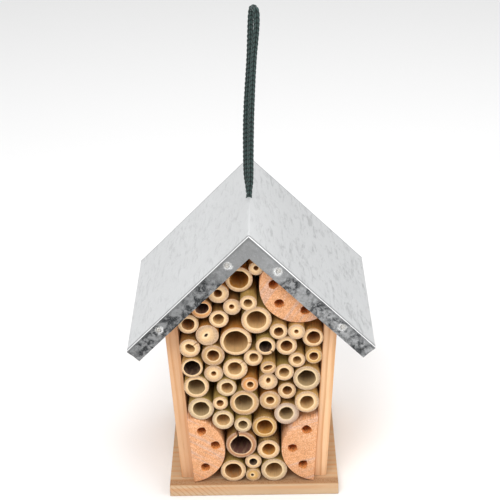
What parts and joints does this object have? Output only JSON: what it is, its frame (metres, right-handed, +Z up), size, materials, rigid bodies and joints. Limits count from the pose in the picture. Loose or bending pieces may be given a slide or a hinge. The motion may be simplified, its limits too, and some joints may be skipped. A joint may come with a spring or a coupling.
{
  "type": "insect hotel",
  "caption": "Small gabled insect hotel: pine walls that lean outwards, bamboo reeds and drilled half logs inside, folded galvanised roof, cord loop to hang it by.",
  "frame": {"origin": "on the ground under the middle of the house and roof, measured without the hanging cord", "axes": "+Z up, +Y from the open front to the back, +X to the right seen from the front"},
  "size_m": [0.157, 0.1316, 0.3166],
  "materials": {
    "pine": "planed, unpainted",
    "bamboo": "natural skin, sawn ends",
    "log_wood": "sawn end grain",
    "galvanised_sheet": "hot-dip galvanised, dull spangle",
    "nail_steel": "plain wire nail",
    "green_cord": "knitted polyester, matt"
  },
  "bodies": {
    "house": {"back_panel": "pine", "base_board": "pine", "cord_knot": "green_cord", "left_roof_board": "pine", "left_wall": "pine", "lower_left_log": "log_wood", "lower_right_log": "log_wood", "nails": "nail_steel", "reed_01": "bamboo", "reed_02": "bamboo", "reed_03": "bamboo", "reed_04": "bamboo", "reed_05": "bamboo", "reed_06": "bamboo", "reed_07": "bamboo", "reed_08": "bamboo", "reed_09": "bamboo", "reed_10": "bamboo", "reed_11": "bamboo", "reed_12": "bamboo", "reed_13": "bamboo", "reed_14": "bamboo", "reed_15": "bamboo", "reed_16": "bamboo", "reed_17": "bamboo", "reed_18": "bamboo", "reed_19": "bamboo", "reed_20": "bamboo", "reed_21": "bamboo", "reed_22": "bamboo", "reed_23": "bamboo", "reed_24": "bamboo", "reed_25": "bamboo", "reed_26": "bamboo", "reed_27": "bamboo", "reed_28": "bamboo", "reed_29": "bamboo", "reed_30": "bamboo", "reed_31": "bamboo", "reed_32": "bamboo", "reed_33": "bamboo", "reed_34": "bamboo", "reed_35": "bamboo", "reed_36": "bamboo", "reed_37": "bamboo", "reed_38": "bamboo", "reed_39": "bamboo", "reed_40": "bamboo", "reed_41": "bamboo", "reed_42": "bamboo", "reed_43": "bamboo", "reed_44": "bamboo", "reed_45": "bamboo", "reed_46": "bamboo", "reed_47": "bamboo", "right_roof_board": "pine", "right_wall": "pine", "roof_sheet": "galvanised_sheet", "upper_log": "log_wood"},
    "hanging_loop": {"cord_loop": "green_cord"}
  },
  "joints": [
    {"name": "loop_swing", "type": "hinge", "parent": "house", "child": "hanging_loop", "pos_m": [0, 0.002, 0.1944], "axis": [0, 1, 0], "range_deg": [-120, 120]}
  ]
}
